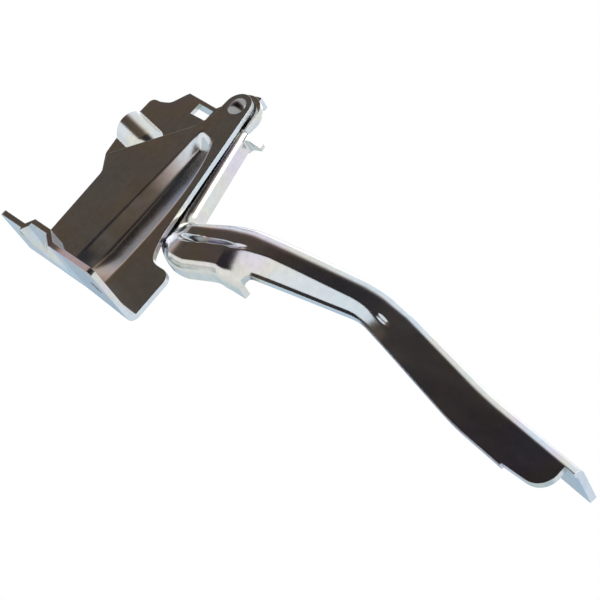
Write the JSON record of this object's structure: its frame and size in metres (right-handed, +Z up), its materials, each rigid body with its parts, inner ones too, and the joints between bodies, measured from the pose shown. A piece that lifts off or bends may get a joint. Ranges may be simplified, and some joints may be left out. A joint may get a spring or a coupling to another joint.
{
  "type": "hood hinge",
  "caption": "Gooseneck hood hinge: a stamped body bracket with a foot and a pressed rib, and a ridged arm that swings on a riveted pivot.",
  "frame": {"origin": "middle of the foot's two bolt holes, on the face that meets the body", "axes": "+X along the foot towards the arm's tail, +Y away from the front plate's face, +Z up, normal to the foot"},
  "size_m": [0.4085, 0.0835, 0.1649],
  "materials": {
    "zinc_sheet": "bright blue-clear zinc plating",
    "rivet_steel": "bright zinc plating",
    "bush_bronze": "plain turned",
    "washer_steel": "bright zinc plating"
  },
  "bodies": {
    "bracket": {"front_bracket_plate": "zinc_sheet", "rear_bracket_plate": "zinc_sheet", "pivot_rivet": "rivet_steel", "pivot_bush": "bush_bronze", "front_washer": "washer_steel", "rear_washer": "washer_steel"},
    "arm": {"hood_arm": "zinc_sheet"}
  },
  "joints": [
    {"name": "hood_swing", "type": "hinge", "parent": "bracket", "child": "arm", "pos_m": [-0.007, 0.031, 0.146], "axis": [0, -1, 0], "range_deg": [0, 60]}
  ]
}
